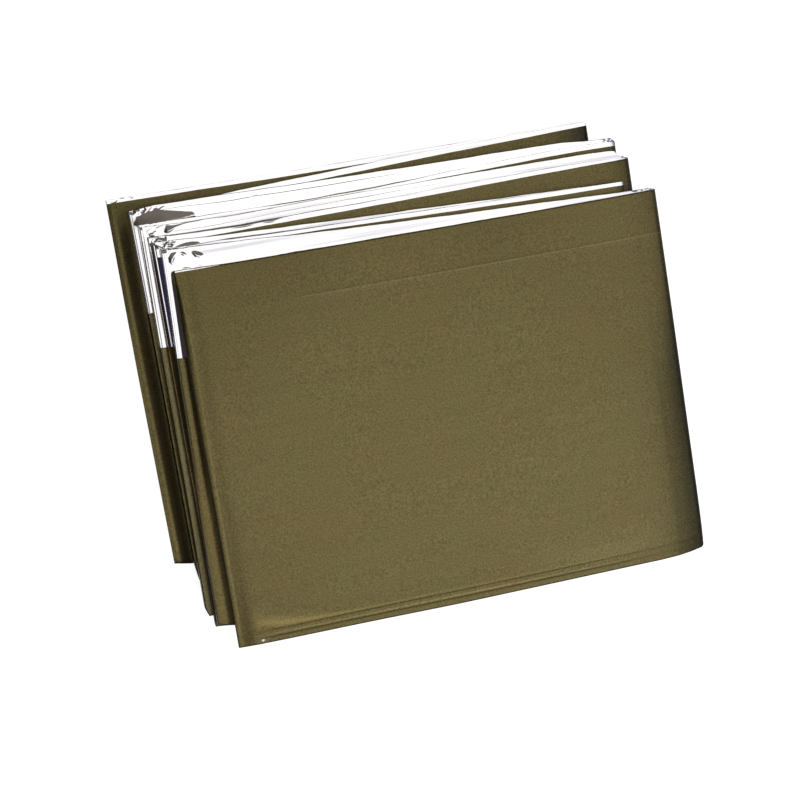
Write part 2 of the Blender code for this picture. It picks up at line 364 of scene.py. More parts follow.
def film_skins():
    """Points of the film's two skins, which of the inner ones are silver, and their colours of painted
    light and shade.
    """
    x, y, level, index, share, to_top, to_bottom, silver = film_arrays()
    leaf = index[:, None] + np.zeros(x.shape, int)
    z = level + lift(x, y, level)
    shaped = np.zeros_like(x)
    for k in range(LAST + 1):
        mine = leaf == k
        droop = end_droop(k, x) * (1 - share[:, None]) + end_droop(min(k + 1, LAST), x) * share[:, None]
        z = np.where(mine, z - droop, z)
        if k % 2:
            turned = smooth((share[:, None] - SHAPES_FADE["start"]) / SHAPES_FADE["reach"])
            faces_up = np.where(share[:, None] > 0, 1 - turned, 1.0)
            shaped = np.where(mine, faces_up * left_shape(k, x - LEAVES[k]["left"], y, silver), shaped)
    for k in range(LAST + 1):
        mine = leaf == k
        nearest_left = x < (LEAVES[k]["left"] + LEAVES[k]["right"]) / 2
        x = np.where(mine & nearest_left, x + left_lean(k, x, y), x)
    middle = np.stack([x, y, z], -1)
    along = np.gradient(middle, axis=0)
    across = np.gradient(middle, axis=1)
    normal = np.cross(along, across)
    normal /= np.linalg.norm(normal, axis=-1, keepdims=True)
    half = LEAF_THICKNESS / 2
    bottom_rim = edge_round(to_bottom, *BOTTOM_RIM)
    thin = bottom_rim * edge_round(to_top, *TOP_RIM)
    inner = half * thin
    on_top = (index == 0)[:, None]
    outer = half * np.where(on_top, bottom_rim * edge_round(to_top, *TOP_LEAF_RIM), thin)
    to_last_end = np.abs(x - along_edge(LEANS[LAST], y))
    outer = np.where((index == LAST)[:, None], outer * edge_round(to_last_end, *LAST_END_RIM), outer)
    from_left = x - along_edge(LEANS[0], y)
    roll = 1 - edge_round(from_left, along_edge(FREE_END_REACH, y), 0.0)
    outer -= on_top * along_edge(FREE_END_DROP, y) * roll
    outer += on_top * sum(height * gauss(from_left - at, width) for at, width, height in FREE_END_WAVES)
    fade = smooth((x - LOW_STEPS_SPAN["from_x"]) / LOW_STEPS_SPAN["fade_in"])
    late = smooth((x - LOW_STEPS_SPAN["fade_from_x"]) / LOW_STEPS_SPAN["fade_out"])
    fade = fade * (1 - (1 - LOW_STEPS_SPAN["least"]) * late)
    for step in LOW_STEPS:
        past = 1 - smooth((to_bottom - along_edge(step["at"], x)) / LOW_STEPS_WIDTH)
        outer -= on_top * fade * step["height"] * past
    crease = TOP_CREASE["height"] * gauss(to_top - TOP_CREASE["below_top"], TOP_CREASE["width"])
    crease = crease * smooth((x - TOP_CREASE["from_x"]) / TOP_CREASE["fade_in"])
    outer += on_top * crease
    inner += SILVER_LIFT * silver
    outer_points = middle + normal * outer[..., None]
    inner_points = middle - normal * inner[..., None]
    # The left folds are pressed nearly square. The strip's inner skin goes round outside them.
    fold = ((share > 0) & (index % 2 == 1))[:, None] & np.ones(x.shape, bool)
    turn = math.pi * share[:, None]
    centre = z - NOSE_RADIUS * np.cos(turn)
    tall = np.sign(np.cos(turn)) * np.abs(np.cos(turn)) ** LEFT_FOLD_SQUARE
    round_x = x - LEFT_FOLD_REACH * np.sin(turn) ** LEFT_FOLD_SQUARE
    inner_points[fold] = np.stack([round_x, y, centre + (NOSE_RADIUS + inner) * tall], -1)[fold]
    outer_points[fold] = np.stack([x, y, centre + (NOSE_RADIUS - outer) * np.cos(turn)], -1)[fold]
    inner_points[..., 2] += shaped
    # The colours are painted light and shade: highlights, shade and reflections from the tables below,
    # and painted shade on the olive sides of the left folds.
    colour = painted_light(leaf, x, y, silver & (leaf % 2 == 1))
    colour[..., :3] *= np.where(fold & ~silver, FOLD_SIDE_SHADE, 1.0)[..., None]
    return outer_points, inner_points, silver, colour


# Painted light and shade on the olive side and on the silver one: painted highlights, painted shade
# and painted reflections. For each: the leaf, the axis that each runs along, its tint, then by the
# place along that axis its line, its width and its amount. The colour factor is 1 + amount * tint on
# the line, and fades over the width to both sides.
OLIVE_PAINTED_LIGHT = [
    # Painted highlights near the top leaf's bottom: a golden patch near the bottom left corner and
    # bright lines over its steps, with painted shade in dark lines between them.
    (0, "x", (1.0, 0.88, 0.70),
     [(-55, -40.0), (-52, -41.0), (-48, -41.8), (-40, -42.3), (-30, -42.5), (-10, -42.65), (30, -42.85)],
     [(-55, 1.3), (-46, 0.9), (-38, 0.5), (-28, 0.28)],
     [(-56.0, 0), (-54.5, 0.6), (-48, 0.85), (-38, 0.65), (-20, 0.4), (5, 0.35), (30, 0.22), (45, 0)]),
    (0, "x", (0.9, 0.9, 1.0), [(-55, -44.0), (-30, -44.2), (-10, -44.35), (30, -44.6)], [(0, 0.24)],
     [(-54, 0), (-50, 0.5), (0, 0.8), (30, 0.5), (45, 0)]),
    (0, "x", (-0.8, -0.85, -1.2), [(-55, -44.65), (-30, -44.8), (-10, -44.9), (30, -45.1)], [(0, 0.35)],
     [(-54, 0), (-50, 0.35), (30, 0.3), (50, 0)]),
    (0, "x", (-0.8, -0.85, -1.2), [(-55, -42.85), (-30, -43.0), (-10, -43.15), (30, -43.3)], [(0, 0.3)],
     [(-54, 0), (-50, 0.3), (-30, 0.25), (0, 0.15), (50, 0.1)]),
    (0, "x", (0.35, 0.35, 0.4), [(-55, -38), (0, -38.5), (25, -40), (35, -41.2), (50, -40)], [(0, 3.0)],
     [(10, 0), (25, 0.3), (35, 0.5), (44, 0.4), (52, 0)]),
    # A painted highlight where the crease under its top edge catches the light.
    (0, "x", (0.9, 0.9, 1.0), [(-40, 34.4), (0, 34.3), (40, 34.4), (61, 34.6)], [(0, 0.18)],
     [(-38, 0), (-20, 0.25), (30, 0.35), (60, 0.45)]),
    # Painted shade and painted light: the top leaf is a little dimmer at its top left, brighter at its
    # lower right.
    (0, "y", (-1.0, -0.85, -1.1), [(-46, -60), (45, -60)], [(0, 30.0)], [(5, 0.0), (45, 0.14)]),
    (0, "y", (0.8, 0.9, 1.3), [(-46, 35), (45, 35)], [(0, 25.0)], [(-46, 0.09), (-10, 0.05), (5, 0)]),
    # Its right end turns down, with painted shade on it.
    (0, "y", (-1.0, -0.95, -0.7), [(-46, 61.0), (45, 61.0)],
     [(-46, 5.2), (-30, 4.8), (0, 3.6), (15, 2.4), (30, 1.4), (45, 1.0)],
     [(-46, 0.6), (0, 0.6), (25, 0.5), (45, 0.3)]),
    # So do the ends of the leaves under it, with painted shade.
    (8, "y", (-1.0, -0.95, -0.6), [(55, 50.2), (66, 50.2)], [(0, 7.5)], [(55, 0.7), (66, 0.7)]),
    (4, "y", (-1.0, -0.95, -0.6), [(45, 57.6), (55, 57.3)], [(0, 1.6)], [(45, 0.45), (55, 0.4)]),
    (2, "y", (-1.0, -0.95, -0.8), [(45, 54.8), (50, 54.8)], [(0, 2.0)], [(45, 0.4), (50, 0.4)]),
    # Its left side: a painted highlight on the ridge beside the free end, painted shade in the trough
    # beside that.
    (0, "y", (1.0, 1.0, 1.1),
     [(-46, -59.1), (-36, -58.9), (-10, -58.75), (28, -58.4), (36, -58.7), (40, -59.0), (43, -59.5),
      (44.5, -60.2)], [(-46, 0.3), (0, 0.35), (20, 0.22), (40, 0.18)],
     [(-46, 0.15), (-38, 0.4), (-10, 0.4), (20, 0.45), (43, 0.7)]),
    (0, "y", (-1.0, -1.05, -1.1), [(-46, -57.2), (-36, -57.3), (-10, -57.2), (44, -56.6)],
     [(-46, 1.5), (-10, 1.2)], [(-46, 0.50), (-38, 0.42), (-28, 0.28), (0, 0.20), (44, 0.12)]),
    # The bottom leaf's strip has a painted highlight in its middle.
    (9, "y", (1.0, 0.95, 0.9), [(-26, -69.4), (0, -69.75), (30, -70.0), (64, -70.0)], [(0, 0.45)],
     [(-24, 0.25), (-20, 0.4), (-8, 0.2), (10, 0.1), (58, 0.15), (63, 0)]),
    # Painted light makes the narrow strips of the folds under it greyer and lighter in places.
    (7, "y", (1.0, 1.05, 1.4), [(-28, -65.8), (36, -65.7)], [(-10, 0.7), (5, 0.35)],
     [(-20, 0.5), (-6, 0.5), (36, 0.6)]),
    (5, "y", (0.9, 1.0, 1.5), [(-38, -65.0), (5, -64.1), (28, -64.0)], [(-10, 1.1), (8, 0.6)],
     [(-20, 0.5), (-6, 0.7), (28, 0.9)]),
    # Two of the left ends are in shade at the bottom.
    (1, "x", (-1.0, -0.95, -0.8), [(-64, -40.0), (-60, -40.7)], [(0, 0.9)],
     [(-64, 0.3), (-62.5, 0.8), (-60, 0.8)]),
    (9, "x", (-1.0, -0.95, -0.8), [(-71, -25.1), (-66, -25.9)], [(0, 0.9)], [(-71, 0.6), (-66, 0.6)]),
    # Painted warm highlights on the strips nearest the top leaf.
    (3, "y", (1.0, 0.8, 0.6), [(-38, -63.2), (-12, -63.3), (0, -63.6), (28, -63.45)], [(0, 0.4)],
     [(-38, 0.5), (0, 0.9), (28, 0.9)]),
    (1, "y", (0.5, 0.1, -0.3), [(-40, -62.0), (0, -61.0)], [(0, 0.7)],
     [(-36, 0.22), (-10, 0.2), (10, 0.1), (20, 0.0)]),
]
SILVER_PAINTED_LIGHT = [
    # Painted shade in a silver fold's dark band, and the small silver spot at the top leaf's lower left,
    # dimmed.
    (3, "y", (-1.0, -1.1, -1.15), [(24, -63.25), (49, -63.15)], [(0, 0.33)],
     [(26, 0.65), (48, 0.65), (49.5, 0)]),
    (0, "x", (-1.0, -1.0, -0.95), [(-55, -45.2), (-53, -45.2)], [(0, 1.0)],
     [(-54.2, 0.2), (-53.5, 0.5)]),
    # Painted reflection: dim places on the silver, where it mirrors something greyer, and painted shade
    # and highlight across the large facet.
    (7, "x", (-0.9, -0.9, -0.8), [(5, 59.2), (45, 58.9)], [(0, 0.35)],
     [(-6, 0), (4, 0.15), (15, 0.25), (40, 0.25), (48, 0)]),
    (5, "x", (-0.9, -0.9, -0.8), [(5, 54.3), (45, 54.2)], [(0, 0.35)],
     [(4, 0), (10, 0.22), (30, 0.22), (40, 0.1), (48, 0)]),
    (7, "x", (-1.0, -1.0, -1.2), [(-66, 57.6), (-58, 57.6)], [(0, 1.2)],
     [(-66, 0.4), (-63.5, 0.32), (-59, 0.1), (-57, 0.0)]),
    (7, "x", (1.0, 1.0, 1.1), [(-58, 58.2), (-50, 57.8)], [(0, 1.5)],
     [(-59, 0), (-56, 0.4), (-52, 0.9), (-50, 0.9)]),
]


def painted_light(leaf, x, y, silver):
    """The colour factor of painted light and shade at every point of a leaf."""
    colour = np.ones(x.shape + (4,))
    for on_silver, listed in ((False, OLIVE_PAINTED_LIGHT), (True, SILVER_PAINTED_LIGHT)):
        for on_leaf, axis, tint, line, width, amount in listed:
            along, across = (x, y) if axis == "x" else (y, x)
            spread = gauss(across - along_edge(line, along), between(width, along))
            here = (leaf == on_leaf) & (silver == on_silver)
            share = np.where(here, between(amount, along) * spread, 0.0)
            for channel, factor in enumerate(tint):
                colour[..., channel] *= 1 + share * factor
    return colour


def to_row(points):
    """Leaf millimetres to the row's metres."""
    return (points - np.array([CENTRE_X, CENTRE_Y, 0.0])) * MM


def closed_grid(outer, inner, silver, colour):
    """Points, faces, material numbers and colours of a closed sheet between two skins of one grid."""
    columns, rows = outer.shape[:2]
    points = np.concatenate([outer.reshape(-1, 3), inner.reshape(-1, 3)])
    ids = np.arange(columns * rows).reshape(columns, rows)
    back = ids + columns * rows
    faces, marks = [], []
    marked = silver[:-1, :-1] & silver[1:, 1:]

    def add(a, b, c, d, slot):
        faces.append(np.stack([a, b, c, d], -1).reshape(-1, 4))
        marks.append(np.broadcast_to(slot, a.shape).reshape(-1))

    add(ids[:-1, :-1], ids[1:, :-1], ids[1:, 1:], ids[:-1, 1:], np.array(0))
    add(back[:-1, :-1], back[:-1, 1:], back[1:, 1:], back[1:, :-1], marked.astype(int))
    add(ids[:-1, 0], back[:-1, 0], back[1:, 0], ids[1:, 0], np.array(0))
    add(ids[:-1, -1], ids[1:, -1], back[1:, -1], back[:-1, -1], np.array(1))
    add(ids[0, :-1], ids[0, 1:], back[0, 1:], back[0, :-1], np.array(0))
    add(ids[-1, :-1], back[-1, :-1], back[-1, 1:], ids[-1, 1:], np.array(0))
    colours = np.tile(colour.reshape(-1, 4), (2, 1))
    return points, np.concatenate(faces), np.concatenate(marks), colours


def add_object(name, data):
    """A new object in the scene."""
    thing = bpy.data.objects.new(name, data)
    bpy.context.scene.collection.objects.link(thing)
    return thing


def sheet_piece(name, grids, materials):
    """One piece made of closed grids."""
    points, faces, marks, colours, start = [], [], [], [], 0
    for grid_points, grid_faces, grid_marks, grid_painted_light in grids:
        colours.append(grid_painted_light)
        points.append(grid_points)
        faces.append(grid_faces + start)
        marks.append(grid_marks)
        start += len(grid_points)
    mesh = bpy.data.meshes.new(name)
    mesh.from_pydata(to_row(np.concatenate(points)).tolist(), [], np.concatenate(faces).tolist())
    mesh.polygons.foreach_set("material_index", np.concatenate(marks).astype(np.int32))
    # The painted light and shade go on as a colour attribute.
    painted_light_colour = mesh.color_attributes.new("painted_light_colour", "FLOAT_COLOR", "POINT")
    painted_light_colour.data.foreach_set("color", np.concatenate(colours).astype(np.float32).reshape(-1))
    for material in materials:
        mesh.materials.append(material)
    mesh.shade_smooth()
    mesh.update()
    return add_object(name, mesh)


# ---------------------------------------------------------------------------------------------
# Silver layers along the tops of the leaves: turned edges on the olive leaves, and the edges of
# the film's own plies on the silver ones. For each: its leaf, the gap under it, its two ends in x and
# its rows of points. Then by x: over how much its top edge bends down, its top edge (None is the
# leaf's own) and its low edge.

LAYER_THICKNESS = 0.08
LAYER_LEAST_WIDTH = 0.1
RIM_ANGLE = math.radians(60)
OVERHANG = 0.1
ROLL_SLOPE = 0.35
# Columns are close together over so much of both ends, and rows crowd towards the top edge.
LEFT_PART = 18
LEFT_PART_STEP = 0.25
RIGHT_PART = 8
RIGHT_PART_STEP = 0.3
LONG_STEP = 0.6
ROW_CROWDING = 1.35
# Near its left end a layer's top edge is ragged.
RAGGED = {"until": 9, "fade": 6, "height": 0.12, "facet": 0.6}
LOW_EDGE_UNEVEN = 0.6
# A layer lies this close to its leaf at its two ends, and rises from there.
END_GAP = 0.01
END_RISE = 0.022
LAYERS = [
    (9, 0.02, -71.1, 49.4, 14, [(0, 0.01)], [(-70, 64.0), (-30, 63.9), (10, 64.1), (49, 64.4)],
     [(-70, 63.2), (-50, 63.1), (-20, 62.9), (10, 63.0), (49, 63.4)]),
    (8, 0.02, -66.3, 49.5, 14, [(-20, 0.06), (-5, 0.01)], None,
     [(-60, 59.6), (-40, 60.1), (-27, 60.6), (-14, 61.1), (6, 61.95), (21, 62.45), (36, 62.95),
      (49, 63.4)]),
    (7, 0.02, -65.9, 55.0, 34, [(-40, 0.07), (-20, 0.10), (0, 0.03)], None,
     [(-66, 57.3), (-65.2, 56.8), (-64.6, 54.3), (-28, 54.4), (55, 54.8)]),
    (7, 0.14, -62.0, 52.0, 34, [(-57, 0.03), (-50, 0.10), (-10, 0.12), (0, 0.01)],
     [(-66, 59.9), (-56, 59.9), (-50, 59.65), (-42, 59.4), (-35, 59.5), (-21, 59.3), (20, 59.2),
      (52, 59.0)], [(-66, 54.0), (-28, 54.4), (55, 54.8)]),
    (6, 0.02, -65.0, 55.3, 14, [(-36, 0.02), (-30, 0.25), (0, 0.2), (6, 0.01)], None,
     [(-60, 55.6), (-10, 55.8), (8, 56.5), (20, 56.8), (30, 57.1), (45, 57.4), (55, 57.35)]),
    (5, 0.02, -64.4, 56.4, 34, [(-58, 0.03), (-52, 0.08), (-42, 0.12), (-32, 0.08), (0, 0.02)], None,
     [(-65, 54.6), (-63.9, 53.8), (-63.2, 50.6), (-28, 50.4), (55, 51.2)]),
    (5, 0.14, -58.0, 53.6, 34, [(-40, 0.05), (-10, 0.08), (0, 0.01)],
     [(-64, 54.6), (-50, 54.3), (-28, 54.9), (0, 55.2), (20, 55.25), (40, 55.1), (54, 54.9)],
     [(-65, 50.4), (-28, 50.4), (55, 51.2)]),
    (4, 0.02, -63.5, 56.8, 18, [(-60, 0.2), (-52, 0.4), (-38, 0.4), (-28, 0.06), (-5, 0.01)], None,
     [(-60, 50.8), (-54, 51.6), (-50, 52.0), (-45, 52.05), (-27, 52.35), (-15, 52.5), (10, 52.95),
      (40, 53.55), (57, 53.75)]),
    (3, 0.02, -62.3, 53.8, 34, [(-15, 0.08), (0, 0.02)], None,
     [(-63, 49.2), (-61, 48.9), (-59, 47.6), (-28, 47.0), (54, 46.0)]),
    (2, 0.02, -61.2, 53.8, 14, [(-48, 0.04), (-45, 0.33), (-32, 0.30), (-24, 0.1), (-8, 0.01)], None,
     [(-60, 49.5), (-29, 49.2), (-9, 48.7), (11, 48.2), (29, 47.8), (53, 47.5)]),
    (1, 0.02, -60.3, 59.8, 34, [(0, 0.08)], None,
     [(-61, 46.6), (-60, 46.2), (-59.3, 44.6), (-57, 43.5), (-28, 43.0), (60, 41.0)]),
    (0, 0.02, -59.4, -49.0, 14, [(0, 0.06)], [(-60, 45.4), (-45, 45.1)],
     [(-60, 45.0), (-54, 45.0), (-49, 45.1)]),
    # A small silver spot at the top leaf's lower left.
    (0, 0.02, -54.3, -53.4, 8, [(0, 0.03)], [(-54.3, -44.95), (-53.9, -44.85), (-53.4, -44.95)],
     [(-54.3, -45.1), (-53.95, -45.5), (-53.4, -45.1)]),
]

# Facets creased into the silver: the leaf, the slopes at the left and right ends, the upper and the
# lower edge. Each tilts up from its upper edge towards its lower one, then falls back over SHORT.
SHORT = 0.22
CREASES = [
    (7, (0.20, 0.08),
     [(-65.8, 57.8), (-64.8, 59.0), (-63.5, 59.7), (-62.2, 60.0), (-59.8, 59.9), (-57.2, 59.4),
      (-54.7, 58.9), (-51.8, 58.2), (-50.8, 57.5)],
     [(-65.8, 57.7), (-65.0, 56.5), (-63.7, 56.4), (-57.7, 56.8), (-53.7, 57.0), (-50.8, 57.4)]),
    (5, (0.20, 0.20), [(-63.3, 55.4), (-62.6, 54.9), (-61.8, 54.5)],
     [(-63.3, 55.2), (-62.9, 54.4), (-61.8, 54.35)]),
    (5, (0.20, 0.20), [(-62.2, 55.5), (-61.0, 56.0), (-59.9, 56.1)],
     [(-62.2, 55.45), (-61.0, 55.7), (-59.9, 56.0)]),
    (5, (0.20, 0.20),
     [(-59.4, 54.8), (-58.7, 56.1), (-57.5, 55.8), (-56.0, 55.8), (-54.0, 56.0), (-50.0, 55.9)],
     [(-59.4, 54.6), (-58.5, 54.55), (-57.5, 54.9), (-56.5, 55.3), (-54.0, 55.8), (-50.0, 55.85)]),
    (4, (0.18, 0.18),
     [(-45.0, 53.3), (-43.0, 53.6), (-41.5, 53.8), (-40.8, 54.1), (-40.2, 53.8), (-39.6, 53.9),
      (-39.3, 53.5), (-37.5, 53.4), (-36.0, 53.6), (-34.8, 53.9), (-34.0, 54.0), (-33.6, 53.3),
      (-31.3, 53.5)],
     [(-45.0, 53.1), (-42.0, 52.9), (-40.0, 52.9), (-39.0, 53.0), (-37.0, 53.1), (-35.0, 52.95),
      (-33.5, 52.9), (-32.5, 53.1), (-31.3, 53.4)]),
    (7, (0.14, 0.14), [(-37.6, 59.75), (-36.5, 59.7), (-35.0, 59.5)],
     [(-37.6, 59.65), (-36.5, 59.45), (-35.0, 59.4)]),
    (5, (0.16, 0.16), [(-34.6, 56.1), (-33.9, 56.2), (-33.3, 55.95)],
     [(-34.6, 56.0), (-33.9, 55.75), (-33.3, 55.8)]),
    (3, (0.18, 0.18),
     [(-57.8, 50.8), (-56.7, 51.2), (-55.2, 51.4), (-53.7, 51.4), (-52.5, 51.2), (-52.1, 50.9)],
     [(-57.8, 50.6), (-56.2, 50.55), (-55.2, 50.4), (-53.2, 50.4), (-52.1, 50.7)]),
    (1, (0.18, 0.18), [(-60.0, 48.8), (-59.3, 49.7), (-58.0, 49.75)],
     [(-60.0, 48.6), (-59.75, 47.2), (-59.0, 48.3), (-58.0, 49.6)]),
    (1, (0.18, 0.18), [(-57.3, 49.6), (-56.4, 49.5), (-55.9, 48.8)],
     [(-57.3, 49.4), (-56.5, 48.7), (-55.9, 48.5)]),
    (1, (0.18, 0.18), [(-54.5, 49.3), (-53.8, 49.3), (-52.6, 48.7), (-51.9, 48.1)],
     [(-54.5, 48.9), (-53.8, 48.1), (-52.7, 47.6), (-51.9, 47.9)]),
    (1, (0.12, 0.12), [(-60.0, 46.6), (-59.0, 45.6)], [(-60.0, 45.9), (-59.0, 45.3)]),
    (1, (0.11, 0.11), [(-58.0, 45.5), (-56.9, 46.0), (-55.3, 45.8)],
     [(-58.0, 45.3), (-56.9, 45.4), (-55.3, 45.4)]),
    (1, (0.11, 0.11), [(-54.7, 45.7), (-53.4, 45.9), (-50.4, 45.6)],
     [(-54.7, 45.5), (-53.4, 45.4), (-50.4, 45.4)]),
]
# Fine crumples: the leaf, the middle's x and y, the reach in x and y, the height, the facets' size.
CRUMPLED_CORNERS = [
    (9, -67.5, 63.7, 4.5, 0.9, 0.05, 0.9),
    (7, -64.0, 60.4, 3.5, 1.2, 0.15, 0.8),
    (7, -59.5, 60.6, 2.0, 0.6, 0.08, 0.7),
    (5, -62.5, 55.0, 2.5, 1.5, 0.06, 1.1),
    (4, -61.2, 53.1, 2.6, 1.3, 0.16, 0.8),
    (3, -60.2, 51.6, 3.8, 1.0, 0.16, 0.7),
    (2, -59.5, 51.0, 3.0, 0.9, 0.12, 0.8),
    (7, 49.5, 58.3, 1.6, 0.5, 0.08, 0.7),
    (7, 53.5, 58.9, 2.0, 1.0, 0.07, 0.9),
    (1, 57.0, 45.8, 3.0, 0.5, 0.08, 0.8),
]
CORNER_STEEPNESS = 1.6
FACET_WARP = 0.35
FACET_SKEW = 0.366


def scatter(i, j, seed):
    """A repeatable number from -1 to 1 for each cell."""
    hashed = np.sin(i * 127.1 + j * 311.7 + seed * 74.7) * 43758.5453
    return 2 * (hashed - np.floor(hashed)) - 1


def facets(x, y, size, seed):
    """Flat triangular facets of about the given size, from -1 to 1."""
    u = x / size + FACET_WARP * np.sin(y / size * 1.7 + seed)
    v = y / size + FACET_WARP * np.sin(x / size * 1.3 + 2 * seed)
    skew = (u + v) * FACET_SKEW
    i, j = np.floor(u + skew), np.floor(v + skew)
    fu, fv = u + skew - i, v + skew - j
    first = scatter(i, j, seed)
    last = scatter(i + 1, j + 1, seed)
    right = scatter(i + 1, j, seed)
    upper = scatter(i, j + 1, seed)
    below = first * (1 - fu) + right * (fu - fv) + last * fv
    above = first * (1 - fv) + upper * (fv - fu) + last * fu
    return np.where(fu > fv, below, above)


def relief(leaf, x, y):
    """Height of the creases and crumpled corners of a leaf's silver."""
    height = np.zeros_like(x)
    for on_leaf, slopes, top, bottom in CREASES:
        if on_leaf != leaf:
            continue
        ends = (top[0][0], top[-1][0])
        inside = np.clip(1 - np.maximum(ends[0] - x, x - ends[1]) / SHORT, 0.0, 1.0)
        lower = between(bottom, x)
        tilted = np.interp(x, ends, slopes) * (between(top, x) - np.maximum(y, lower))
        fall = 1 - (lower - y) / SHORT
        height = np.maximum(height, inside * tilted * np.clip(fall, 0.0, 1.0))
    for on_leaf, at_x, at_y, reach_x, reach_y, rise, size in CRUMPLED_CORNERS:
        if on_leaf == leaf:
            near = 1 - np.hypot((x - at_x) / reach_x, (y - at_y) / reach_y)
            height += rise * smooth(near * CORNER_STEEPNESS) * facets(x, y, size, leaf + 1.0)
    return height


SLOW_UNEVEN = 0.05
QUICK_UNEVEN = 0.02


def uneven(x, seed):
    """Slow unevenness along an edge, in millimetres."""
    slow = np.sin(x / 3.1 + seed * 1.7) * np.sin(x / 7.3 + seed)
    quick = np.sin(x / 0.83 + seed * 2.3) * np.sin(x / 1.9 + seed * 0.7)
    return SLOW_UNEVEN * slow + QUICK_UNEVEN * quick


def layer_skins(layer, number):
    """Upper and lower skins of one silver layer. Its number in the list seeds its unevenness."""
    leaf, gap, left, right, rows, roll, top, low = layer
    if right - left < LEFT_PART + RIGHT_PART:
        xs = np.linspace(left, right, max(4, int((right - left) / LEFT_PART_STEP)))
    else:
        xs = np.concatenate([np.arange(left, left + LEFT_PART, LEFT_PART_STEP),
                             np.arange(left + LEFT_PART, right - RIGHT_PART, LONG_STEP),
                             np.arange(right - RIGHT_PART, right + TOLERANCE, RIGHT_PART_STEP)])
    top = along_edge(top or LEAVES[leaf]["top"], xs) + uneven(xs, number)
    ragged = RAGGED["height"] * smooth((left + RAGGED["until"] - xs) / RAGGED["fade"])
    ragged = ragged * facets(xs, xs * 0 + number, RAGGED["facet"], number)
    top = top + ragged + OVERHANG * (gap < LAYER_THICKNESS) * (leaf > 0)
    low = along_edge(low, xs) + LOW_EDGE_UNEVEN * uneven(xs, number + 40)
    low = np.minimum(low, top - LAYER_LEAST_WIDTH)
    share = np.linspace(0, 1, rows) ** ROW_CROWDING
    x = np.repeat(xs[:, None], rows, 1)
    y = top[:, None] - (top - low)[:, None] * share[None, :]
    level = leaf_level(leaf)
    base = level + lift(x, y, level) - end_droop(leaf, x) + LEAF_THICKNESS / 2
    base = base + SILVER_LIFT * (leaf % 2)
    from_end = np.minimum(x - left, right - x)
    gap = np.minimum(gap, END_GAP + END_RISE * np.maximum(from_end, 0.0))
    to_top = top[:, None] - y
    # The bend comes and goes a little along the edge.
    comes_and_goes = 0.8 + 0.2 * np.sin(x / 11.0 + 2.1 * number) * np.sin(x / 4.7 + number)
    roll = between(roll, x) * comes_and_goes
    bend = -ROLL_SLOPE * roll * (1 - np.clip(to_top / roll, 0.0, 1.0))
    z = base + gap + bend + relief(leaf, x, y)
    upper = np.stack([x, y, z + LAYER_THICKNESS], -1)[:, ::-1]
    under = np.stack([x, y, z], -1)[:, ::-1]
    return upper, under


# ---------------------------------------------------------------------------------------------
# Materials.

def new_material(name):
    """A new material, its node tree and its shader."""
    material = bpy.data.materials.new(name)
    material.use_nodes = True
    tree = material.node_tree
    return material, tree, tree.nodes["Principled BSDF"]


def set_inputs(tree, node, inputs):
    """Link each input from a socket, or set it to a value."""
    for name, value in inputs.items():
        if isinstance(value, bpy.types.NodeSocket):
            tree.links.new(value, node.inputs[name])
        else:
            node.inputs[name].default_value = value


def add_node(tree, kind, inputs=(), operation=None):
    """A new shader node of a kind, such as TexNoise."""
    node = tree.nodes.new("ShaderNode" + kind)
    if operation:
        node.operation = operation
    set_inputs(tree, node, dict(inputs))
    return node


def noise_at(tree, place, scale, detail):
    """Noise at a place. A scale in three numbers stretches it."""
    if isinstance(scale, tuple):
        place = add_node(tree, "Mapping", {"Vector": place, "Scale": scale}).outputs["Vector"]
        scale = 1.0
    inputs = {"Vector": place, "Scale": scale, "Detail": detail}
    return add_node(tree, "TexNoise", inputs).outputs["Fac"]


def mapped(tree, socket, start, stop, to_start=0.0, to_stop=1.0):
    """The socket's range from start to stop, taken to another."""
    limits = {"From Min": start, "From Max": stop, "To Min": to_start, "To Max": to_stop}
    return add_node(tree, "MapRange", {"Value": socket, **limits}).outputs["Result"]


def ramp(tree, socket, stops):
    """A colour through (position, colour) stops, in order."""
    node = add_node(tree, "ValToRGB", {"Fac": socket})
    elements = node.color_ramp.elements
    for element, (position, colour) in ((elements[0], stops[0]), (elements[1], stops[-1])):
        element.position = position
        element.color = (*colour, 1.0)
    for position, colour in stops[1:-1]:
        elements.new(position).color = (*colour, 1.0)
    return node.outputs["Color"]


def mixed(tree, factor, first, second):
    """The first colour, which the factor turns into the second."""
    node = tree.nodes.new("ShaderNodeMix")
    node.data_type = "RGBA"
    colours = [socket for socket in node.inputs if socket.type == "RGBA"]
    tree.links.new(factor, node.inputs["Factor"])
    tree.links.new(first, colours[0])
    colours[1].default_value = (*second, 1.0)
    return [socket for socket in node.outputs if socket.type == "RGBA"][0]


def times(tree, first, second):
    """One value times another."""
    return add_node(tree, "Math", {0: first, 1: second}, "MULTIPLY").outputs["Value"]


def scaled_about_one(tree, socket, amount):
    """1 + amount * (socket - 0.5)."""
    inputs = {0: socket, 1: amount, 2: 1 - amount / 2}
    return add_node(tree, "Math", inputs, "MULTIPLY_ADD").outputs["Value"]


def with_painted_light(tree, colour):
    """A colour times the mesh's painted light and shade."""
    painted_light_colour = add_node(tree, "Attribute")
    painted_light_colour.attribute_name = "painted_light_colour"
    inputs = {0: colour, 1: painted_light_colour.outputs["Color"]}
    return add_node(tree, "VectorMath", inputs, "MULTIPLY").outputs["Vector"]


def bumped(tree, height, strength, distance):
    """The normal that a fine height gives."""
    inputs = {"Height": height, "Strength": strength, "Distance": distance}
    return add_node(tree, "Bump", inputs).outputs["Normal"]


